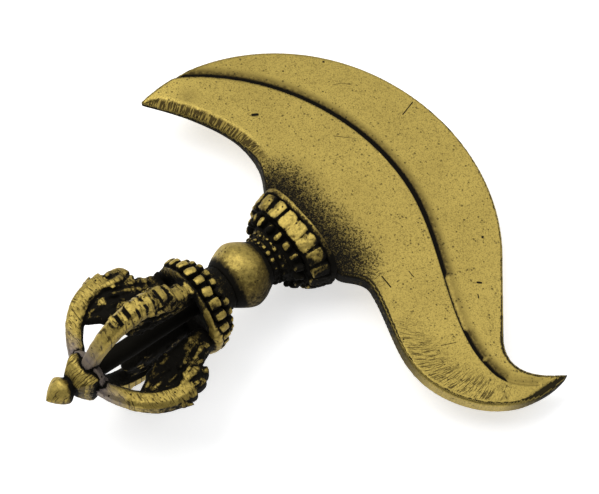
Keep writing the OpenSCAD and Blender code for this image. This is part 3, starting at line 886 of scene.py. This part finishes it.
class KARTIKA_OT_neck_and_knob(bpy.types.Operator):
    """Granulated neck ring and the polished, pitted knob"""

    bl_idname = "kartika.neck_and_knob"
    bl_label = "Neck ring and knob"

    def execute(self, context):
        rng = np.random.default_rng(11)
        ring = turned("ring", [(NECK, 2.8), (NECK, 6.7), (NECK + 0.4, 6.9), (COLLAR - 0.4, 6.9),
                               (COLLAR, 6.7), (COLLAR, 2.8)])
        spots = [Matrix.Rotation(2 * math.pi * (i + rng.uniform(-0.2, 0.2)) / 20, 4, "X")
                 @ Matrix.Translation((NECK + 1.1 + rng.uniform(-0.25, 0.25), 0, 6.9))
                 @ Matrix.Scale(rng.uniform(0.55, 1.05), 4) for i in range(20)]
        studded("neck_ring", ring, ball((0, 0, 0), (1.9, 1.9, 1.8), cubic=0.2), spots,
                brass("Neck Brass", 0.8, coat=1.4, pits=0.6), "worn_brass", 0.2, 1, 0.6, 0.8)

        half, crest, end_r = (NECK - KNOB) / 2, 9.85, 6.8
        side = [(KNOB_MIDDLE + half * i / 16, crest - (crest - end_r) * abs(i / 16) ** 1.55)
                for i in range(-16, 17)]
        knob = turned("knob", [(KNOB, 0), *side, (NECK, 0)])
        fused(knob, 0.3, 4, 1.2, 5)
        finish = brass("Knob Brass", 0.55, patch=6, coat=1.1, soften=0.5, pits=0.55, rough=0.42)
        finished(knob, "knob", finish)
        return {"FINISHED"}


class KARTIKA_OT_hub(bpy.types.Operator):
    """Lotus hub: the dark bell and its two rows of squarish beads"""

    bl_idname = "kartika.hub"
    bl_label = "Lotus hub"

    def execute(self, context):
        rng = np.random.default_rng(5)
        core = turned("core", [
            (HUB + 2.6, 2.8), (HUB + 2.4, 6.5), (HUB + 0.6, 9.5), (HUB, 10.5), (HUB, 12.6), (HUB + 0.5, 13.3),
            (BEADS, 13.2), (BEADS + 0.1, 11.3), (SMALL_BEADS, 11.1), (SMALL_BEADS + 0.1, 9.3), (-32.8, 9.2),
            (-31.6, 7.6), (-30.4, 6.9), (KNOB, 6.7), (KNOB, 2.8)])
        # plain thick lip of the bell, beside the root of the lower prong
        lip_x, lip_r, lip_middle = -40.0, 11.9, 3.4
        lip = [((lip_x, lip_r * math.cos(a), lip_r * math.sin(a)),
                1.2 + 1.2 * ease((2.6 - abs(a - lip_middle) * 3) / 1.6))
               for a in np.radians(np.arange(150, 241, 9))]
        core = joined("core", [core, *(capsule(a[0], b[0], a[1], b[1]) for a, b in zip(lip, lip[1:]))])
        fused(core, 0.32, 2, 1.6)
        finished(core, "lotus_hub", brass("Hub Brass", 0.9, coat=1.3, pits=0.7))
        for node, x, long, seat_r, centre_r, size, phase in (
                ("hub_beads_large", BEADS, 4.1, 11.8, 12.3, (3.95, 3.45, 3.9), 0.0),
                ("hub_beads_small", SMALL_BEADS, 2.9, 9.8, 10.4, (2.95, 2.75, 3.2), 0.5)):
            band = turned("band", [(x + 0.3, seat_r - 2), (x + 0.3, seat_r), (x + long - 0.3, seat_r - 0.3),
                                   (x + long - 0.3, seat_r - 2)])
            spots = [Matrix.Rotation(2 * math.pi * (i + phase) / sizes().beads, 4, "X")
                     @ Matrix.Translation((x + long / 2 + rng.uniform(-0.15, 0.15), 0,
                                           centre_r + rng.uniform(-0.25, 0.1)))
                     @ Matrix.Rotation(rng.uniform(-0.25, 0.25), 4, "Z")
                     @ uneven(rng, (0.86, 1.03), (0.82, 1.02)) for i in range(sizes().beads)]
            finish = brass(node.replace("_", " ").title() + " Brass", 0.7, coat=1.35, pits=0.5)
            studded(node, band, ball((0, 0, 0), size, cubic=0.45), spots, finish, "worn_brass", None, 2, 1.3)
        return {"FINISHED"}


PRONG_LINE = joined_line(
    bezier([(PRONG_END - 0.6, 4.6), (PRONG_END + 2.5, 12.9), (PEAK[0] - 8, PEAK[1] - 0.6), PEAK], 16),
    bezier([PEAK, (PEAK[0] + 5.1, PEAK[1] + 0.4), (HUB - 9.3, 10.4), (HUB + 0.2, 10.3)], 14))
PRONG_SECTION = [(0.5, 0.22), (0.42, 0.4), (0.2, 0.5), (-0.2, 0.5), (-0.42, 0.4), (-0.5, 0.22), (-0.48, -0.3),
                 (-0.25, -0.5), (0.25, -0.5), (0.48, -0.3)]

# The water beast on a prong, in places from the prong's peak: along the handle, then across it
# where three numbers are given, and outward last
CHEEKS = (((1.4, 1.9, -1.6), (6.0, 2.0, -2.6), 1.4, 1.9), ((-3.2, 0.8, -4.0), (1.2, 1.9, -4.6), 0.8, 0.9),
          ((-2.9, 0.9, -7.6), (0.6, 2.0, -7.6), 0.8, 1.0), ((7.2, 2.0, -4.0), (9.0, 2.5, -3.8), 1.2, 0.9))
FEATURES = (  # brow, eye and nostril, then the curls of the chin
    ((4.2, 2.4, 0.5), 1.8), ((1.9, 2.3, -0.6), 1.5), ((-0.7, 1.2, 2.1), 1.5), ((-0.8, 1.6, -10.9), 1.6),
    ((2.6, 1.7, -11.2), 1.6), ((-2.0, 1.6, -9.8), 1.5), ((3.4, 1.9, -9.4), 1.7))
MANE = (((3.6, -3.4), (12.6, -7.4), 6), ((2.4, -5.6), (12.0, -9.2), 6), ((3.0, -7.9), (10.4, -10.6), 5))
SCALES = ((2.0, 2.2, 0, (2.2, 4.2, 2.2)), (8.0, -1.6, 62, (2.8, 5.8, 3.5)), (10.3, -5.9, 40, (2.5, 5.2, 3.2)),
          (13.1, -7.2, 8, (2.3, 5.8, 3.1)), (15.9, -7.4, -8, (1.8, 5.1, 2.8)))
RIDGES = ((-8.7, 0.8, 1.7), (-6.4, 1.45, 1.9), (-3.4, 1.95, 2.9), (0.2, 2.1, 2.7))


def beast_bars(kind):
    """Bars along the middle of a beast: two ends and their radii. The front prong's jaw is short."""
    jaw, lip = ((-3.4, -8.2), (-2.2, -5.3)) if kind == "front" else ((-7.6, -6.5), (-6.2, -5.3))
    return (((-1.8, 0.9), (-0.3, 1.4), 1.95, 1.85), ((1.2, -0.8), (3.6, -1.0), 2.6, 2.6),  # snout, brow
            ((4.4, -4.2), (13.5, -8.2), 2.5, 2.6), ((6.2, -6.4), (0.6, -9.2), 3.1, 2.5),  # body, neck
            ((0.6, -9.2), (-3.4, -8.8), 2.5, 1.9), ((-2.4, -8.7), jaw, 1.9, 1.3),  # jaw
            ((-4.6, -3.4), (4.0, -4.4), 1.5, 2.4), ((-2.6, -6.2), (3.0, -6.6), 1.6, 2.4),  # mouth
            ((1.0, -9.4), (1.5, -10.4), 2.3, 2.1), (lip, (-1.0, -5.4), 1.5, 2.2),  # chin, lip
            ((2.5, -9.3), (13.8, -10.4), 2.9, 2.9), ((4.0, -6.6), (12.0, -9.0), 2.6, 2.4))  # root


def one_prong(kind):
    """A prong on the front of the cage: its filed bar, the water beast's head and the scaled root.
    The front one has ridges along its bar and a short jaw, the upper one a larger curl."""
    rng = np.random.default_rng(3)
    x, z = PEAK
    widths = np.interp(np.arange(len(PRONG_LINE)), [0, 4, 12, 17, 21, 25, 30],
                       [0.88, 0.96, 1.2, 1.28, 1.05, 0.86, 0.8])
    parts = [swept("bar", PRONG_LINE, [(4.6 * b, 4.9 * a) for a, b in PRONG_SECTION], widths)]
    for a, b, ra, rb in beast_bars(kind):
        parts.append(capsule((x + a[0], 0, z + a[1]), (x + b[0], 0, z + b[1]), ra, rb))
    parts.append(ball((x + 5.2, 0, z - 0.4), (3.9, 5.2, 5.2), 8, 0.5))
    for side in (-1, 1):
        for a, b, ra, rb in CHEEKS:
            ends = [(x + along, side * across, z + up) for along, across, up in (a, b)]
            parts.append(capsule(*ends, ra, rb))
        for at, size in FEATURES:
            parts.append(ball((x + at[0], at[1] * side, z + at[2]), (size * 1.1, size, size), 0, 0.35))
        for row, (start, end, count) in enumerate(MANE):
            for i in range(count):
                t = (i + 0.35 * row * (side + 1)) / count
                lump = rng.uniform(1.5, 2.3)
                parts.append(ball((x + start[0] + t * (end[0] - start[0]) + rng.uniform(-0.25, 0.25),
                                   side * rng.uniform(2.1, 2.6),
                                   z + start[1] + t * (end[1] - start[1]) + rng.uniform(-0.3, 0.3)),
                                  (lump * 1.25, lump, lump * 0.95), rng.uniform(0, 70), 0.35))
    if kind == "upper":
        parts.append(ball((x + 7.4, 0, z - 0.5), (5.8, 5.0, 5.0), 35, 0.1))
    for bx, bz, turn, size in SCALES:
        parts.append(ball((x + bx, 0.3 * math.sin(bx * 3), z + bz), size, turn, 0.6))
    if kind == "front":
        for i, (bx, bz, long) in enumerate(RIDGES):
            size = (long, 3.6 + 0.4 * i, 1.9)
            parts.append(ball((x + bx, 0.35 * (-1) ** i, z + bz), size, -14 + 4 * i, 0.55))
    else:
        parts.append(capsule((x - 1.4, 0, z + 2.3), (x + 0.5, 0, z + 4.1), 1.4, 0.35))
    return fused(joined("prong", parts), None, 2, 1.1)


class KARTIKA_OT_prongs(bpy.types.Operator):
    """Four prongs that leave the hub through a water beast's head and meet at the tip"""

    bl_idname = "kartika.prongs"
    bl_label = "Prongs"

    def execute(self, context):
        smooth = brass("Prong Brass", 0.9, patch=5, coat=1.25, pits=0.7, strokes=(0, 1, 0.38, 2.6, 0.6),
                       bloom=(-69.5, -74.5))
        filed = brass("Filed Prong Brass", 0.6, patch=6, coat=1.35, pits=0.7, strokes=(0, 1, 0.75, 2.2, 0.6),
                      bloom=(-70, -75))
        for kind, finish, names in (("upper", smooth, ("upper",)), ("lower", smooth, ("lower",)),
                                    ("front", filed, ("front", "rear"))):
            model = one_prong(kind)
            for name in names:
                turn = Matrix.Rotation(math.radians(QUARTERS[name]), 4, "X")
                finished(copies(name, model, [turn], keep=True), "prong_" + name, finish)
            bpy.data.objects.remove(model)
        return {"FINISHED"}


class KARTIKA_OT_tip(bpy.types.Operator):
    """Braze, four-sided cap and finial bud at the end of the handle"""

    bl_idname = "kartika.tip"
    bl_label = "Tip"

    def execute(self, context):
        seam = turned("seam", [(CAP - 0.1, 2.8), (CAP - 0.1, 6.2), (CAP + 0.5, 6.9), (PRONG_END + 0.5, 6.4),
                               (PRONG_END + 1.6, 4.4), (PRONG_END + 2.2, 2.8)])
        lumps = [ball((PRONG_END + 0.9, 4.6 * math.cos(a), 4.6 * math.sin(a)), (3.2, 3.8, 3.8))
                 for a in np.radians([0, 90, 180, 270])]
        seam = fused(joined("seam", [seam, *lumps]), None, 3, 2.0, 1.8)
        finished(seam, "braze_seam", brass("Braze", 0.8, coat=0.8, pits=0.7, bloom=(-66, -71), rough=0.5))

        long, wide, narrow = 6.6, 11.6, 0.42
        cap = ball((0, 0, 0), (1, 1, 1), cubic=0.75)
        cap.scale = (long, wide, wide)
        place(cap)
        for v in cap.data.vertices:
            x = v.co.x / long + 0.5
            k = narrow + (1 - narrow) * min(1, max(0, x / 0.62)) ** 0.8
            v.co = (v.co.x + (CAP + BUD) / 2, v.co.y * k, v.co.z * k)
        cap = fused(cap, None, 3, 1.2, 2.2)
        finished(cap, "tip_cap", brass("Cap Brass", 0.7, coat=0.95, pits=0.4, strokes=(1, 0, 0.38, 4, 0.8)))

        side = [*bezier([(FINIAL + 0.05, 0), (FINIAL + 1.0, 1.1), (BUD - 4.6, 3.6), (BUD - 2.5, 4.1)], 12),
                *bezier([(BUD - 2.4, 4.0), (BUD - 1.2, 4.0), (BUD - 0.9, 2.7), (BUD + 0.3, 2.7)], 8)[1:]]
        bud = turned("bud", [(float(x), max(float(r), 0)) for x, r in side] + [(BUD + 0.3, 0)], 64)
        fused(bud, 0.2, 1, 0.8, 2.5)
        finish = brass("Bud Brass", 0.7, patch=5, coat=1.05, pits=0.25, strokes=(1, 0, 0.4, 3, 0.5))
        finished(bud, "finial_bud", finish)
        return {"FINISHED"}


# The side of a piece turned away from the lamps, on the bench: faces turned this way get painted shade.
SHADED_SIDE = Vector((0.3, -0.9, -0.3))
SKY_REACH, CREVICE_REACH = 0.014, 0.003  # in metres, as the finished pieces are


def sky_rays(count=14):
    """Directions spread over the sky above a surface, as unit steps from its normal."""
    rays = []
    for i in range(count):
        up = 1 - (i + 0.5) / (count + 2)
        a = i * 2.39996
        rays.append(Vector((math.cos(a) * math.sqrt(1 - up * up), math.sin(a) * math.sqrt(1 - up * up), up)))
    return rays


def unrubbed_and_shaded(piece, at, normal):
    """How much of the dark coat a point keeps for its place, besides what shelters it: a hand hardly reaches
    the gaps between the ridges; the inside of the cage and the sides turned from the lamps get painted shade."""
    out = Vector((0, at.y, at.z)).normalized()
    in_cage = min(1, max(0, (HUB + 1 - at.x) / 2)) * min(1, max(0, (at.x + 75) / 3))
    # painted shade on the faces turned away from the lamps
    low = max(0, normal.dot(SHADED_SIDE) - 0.05) * 0.6
    ridged = piece in ("prong_front", "prong_rear")
    if piece == "lotus_hub" and not (at.y < -7 and at.x < -37):
        low += 0.9
    if ridged:
        low *= 0.15
    if piece.startswith("prong"):
        # painted shade on the parts of a prong that lie deep in the cage, broken by noise
        inside = np.interp(at.x, *PRONG_LINE.T) - math.hypot(at.y, at.z)
        low += 0.7 * ease((inside - 2.4) / 2.5) * (0.62 + 0.95 * noise.noise(at * 0.4))
        # painted shade on the sides of the heads, toward the hub, which face the neighbouring prongs
        across = abs(at.y if ridged else at.z)
        low += 0.2 * ease((across - 1.6) / 0.8) * ease((at.x + 55) / 4)
        if ridged and normal.dot(out) > 0.2:
            between = ease((math.sin(at.x * 2.62 + 0.6) - 0.3) / 0.4)
            on_ridges = ease((at.x + 63) / 3) * ease((-51 - at.x) / 2)
            low += 0.7 * between * on_ridges * (0.6 + noise.noise(at * 0.7))
    # painted shade on the lower side of the collar and the neck ring
    if "collar" in piece or "neck" in piece:
        low += 0.16 * ease((-at.y - 2) / 9)
    # painted shade over the spindle, deep in the cage
    if piece == "spindle":
        low += 0.4
    if "hub" in piece:
        low *= 0.3
    if "petals" in piece or "beads" in piece:
        low += (0.9 if "petals" in piece else 0.5) * max(0, noise.noise(at * 0.35))
    if piece == "knob":
        low += 0.6 * ease((abs(at.x - KNOB_MIDDLE) - 3.6) / 2.6)
    # painted shade on faces that turn inward inside the cage
    return max(0, -normal.dot(out)) * in_cage * 0.8 + low


class KARTIKA_OT_patina(bpy.types.Operator):
    """Measures how sheltered each point of the cast pieces is, for the dark coat to settle there, and adds
    painted shade inside the cage and on the sides turned from the lamps
    """

    bl_idname = "kartika.patina"
    bl_label = "Patina and Shade"

    def execute(self, context):
        pieces = [o for o in bpy.data.objects if o.type == "MESH" and o.name.endswith("_brass")]
        verts, faces = [], []
        for o in pieces:
            base = len(verts)
            verts += [v.co.copy() for v in o.data.vertices]
            faces += [[base + i for i in p.vertices] for p in o.data.polygons]
        tree = BVHTree.FromPolygons(verts, faces)
        to_bench = ROW_TO_BENCH.to_3x3() * 0.001
        rays = sky_rays()
        for o in pieces:
            if o.name == "blade_brass":
                continue
            crevice, shelter_and_shade = [], []
            for i, v in enumerate(o.data.vertices):
                turn = v.normal.to_track_quat("Z", "Y").to_matrix() @ Matrix.Rotation(i * 1.3, 3, "Z")
                start = v.co + v.normal * 0.00012
                small = large = 0.0
                for ray in rays:
                    hit = tree.ray_cast(start, turn @ ray, SKY_REACH)[3]
                    if hit is not None:
                        large += 1 - hit / SKY_REACH
                        small += max(0, 1 - hit / CREVICE_REACH)
                crevice.append(small / len(rays) * 2)
                shelter_and_shade.append(large / len(rays) * 0.8 + unrubbed_and_shaded(
                    o.name.removesuffix("_brass"), ROW_TO_BENCH @ v.co, to_bench @ v.normal))
            attribute(o, "crevice", crevice)
            attribute(o, "shelter_and_shade", shelter_and_shade)
        return {"FINISHED"}


# Directions of the picture on the bench, the camera's place there, and the lamps: how far to the
# right, up and toward the camera from the kartika in metres, how wide, and how strong in watts
PICTURE_UP, PICTURE_BACK = Vector((0.50027, 0.70691, 0.5)), Vector((-0.39915, -0.32416, 0.85767))
CAMERA_AT = Vector((-191.0, -155.7, 405.0))
LAMPS = {"over": ((0.27, 0.49, 0.43), 0.9, 1.85), "key": ((-0.36, 0.46, 0.50), 0.6, 3.0)}


class KARTIKA_OT_stage(bpy.types.Operator):
    """Pale floor, soft lamps, white surroundings and the camera"""

    bl_idname = "kartika.stage"
    bl_label = "Stage"

    def execute(self, context):
        self.floor()
        self.surroundings(context.scene)
        turn = BENCH_TO_ROW.to_3x3() * 1000
        back = (turn @ PICTURE_BACK).normalized()
        up = turn @ PICTURE_UP
        up = (up - back * up.dot(back)).normalized()
        axes = (up.cross(back), up, back)
        for name, (at, size, power) in LAMPS.items():
            bpy.ops.object.light_add(type="AREA")
            lamp = named(name)
            lamp.data.shape = "DISK"
            lamp.data.size = size
            lamp.data.energy = power
            lamp.location = axes[0] * at[0] + axes[1] * at[1] + axes[2] * at[2]
            lamp.rotation_euler = lamp.location.to_track_quat("Z", "Y").to_euler()

        bpy.ops.object.camera_add()
        camera = named("camera")
        camera.data.lens = 100
        camera.data.sensor_width = 36
        camera.data.clip_start, camera.data.clip_end = 0.01, 20
        camera.matrix_world = Matrix(axes).transposed().to_4x4()
        camera.location = BENCH_TO_ROW @ CAMERA_AT
        context.scene.camera = camera
        context.scene.view_settings.view_transform = "Standard"
        return {"FINISHED"}

    def floor(self):
        """A pale floor that fades into the white surroundings away from the lamps."""
        bpy.ops.object.select_all(action="DESELECT")
        bpy.ops.mesh.primitive_plane_add(size=6, location=(0, 0, 0))
        floor = named("floor")
        material = bpy.data.materials.new("Floor")
        material.use_nodes = True
        tree = material.node_tree
        shader = tree.nodes["Principled BSDF"]
        shader.inputs["Base Color"].default_value = finishes().floor
        shader.inputs["Roughness"].default_value = 0.9
        path = put(tree, "LightPath")
        seen = most(path["Is Camera Ray"], path["Is Glossy Ray"], path["Is Transmission Ray"])
        away = vector("LENGTH", put(tree, "TexCoord")["Object"], (0, 0, 0), 1)
        strength = seen * ramp(away, 0.3, 1.0, 0.6, 1.0)
        glow = put(tree, "Emission", {"Color": (1, 1, 1, 1), "Strength": strength})
        both = put(tree, "AddShader", {0: Value(shader.outputs[0]), 1: glow[0]})
        feed(tree.nodes["Material Output"].inputs["Surface"], both[0])
        floor.data.materials.append(material)

    def surroundings(self, scene):
        """Dim and slightly cool light from all round, which the camera sees as white."""
        scene.world = bpy.data.worlds.new("Studio")
        scene.world.use_nodes = True
        tree = scene.world.node_tree
        plain = tree.nodes["Background"]
        plain.inputs["Color"].default_value = (0.95, 0.97, 1, 1)
        plain.inputs["Strength"].default_value = 0.25
        white = put(tree, "Background", {"Color": (1, 1, 1, 1), "Strength": 1.0})
        by_camera = put(tree, "LightPath")["Is Camera Ray"]
        mixed = put(tree, "MixShader", {0: by_camera, 1: Value(plain.outputs[0]), 2: white[0]})
        feed(tree.nodes["World Output"].inputs["Surface"], mixed[0])


PIECES = (KARTIKA_OT_blade, KARTIKA_OT_spindle, KARTIKA_OT_collar, KARTIKA_OT_neck_and_knob, KARTIKA_OT_hub,
          KARTIKA_OT_prongs, KARTIKA_OT_tip, KARTIKA_OT_patina, KARTIKA_OT_stage)


class KARTIKA_PT_panel(bpy.types.Panel):
    """Lists the pieces of the kartika and their sizes and colours"""

    bl_idname = "KARTIKA_PT_panel"
    bl_label = "Kartika"
    bl_space_type = "VIEW_3D"
    bl_region_type = "UI"
    bl_category = "Kartika"

    def draw(self, context):
        for settings in (context.scene.kartika_sizes, context.scene.kartika_finishes):
            for key in settings.__annotations__:
                self.layout.prop(settings, key)
        for piece in PIECES:
            self.layout.operator(piece.bl_idname)


CLASSES = (KartikaSizes, KartikaFinishes, *PIECES, KARTIKA_PT_panel)


def register():
    for cls in CLASSES:
        bpy.utils.register_class(cls)
    bpy.types.Scene.kartika_sizes = PointerProperty(type=KartikaSizes)
    bpy.types.Scene.kartika_finishes = PointerProperty(type=KartikaFinishes)


def unregister():
    del bpy.types.Scene.kartika_finishes
    del bpy.types.Scene.kartika_sizes
    for cls in reversed(CLASSES):
        bpy.utils.unregister_class(cls)


def main():
    """Builds every piece in order."""
    register()
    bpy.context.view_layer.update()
    for piece in PIECES:
        area, name = piece.bl_idname.split(".")
        getattr(getattr(bpy.ops, area), name)()


if __name__ == "__main__":
    main()
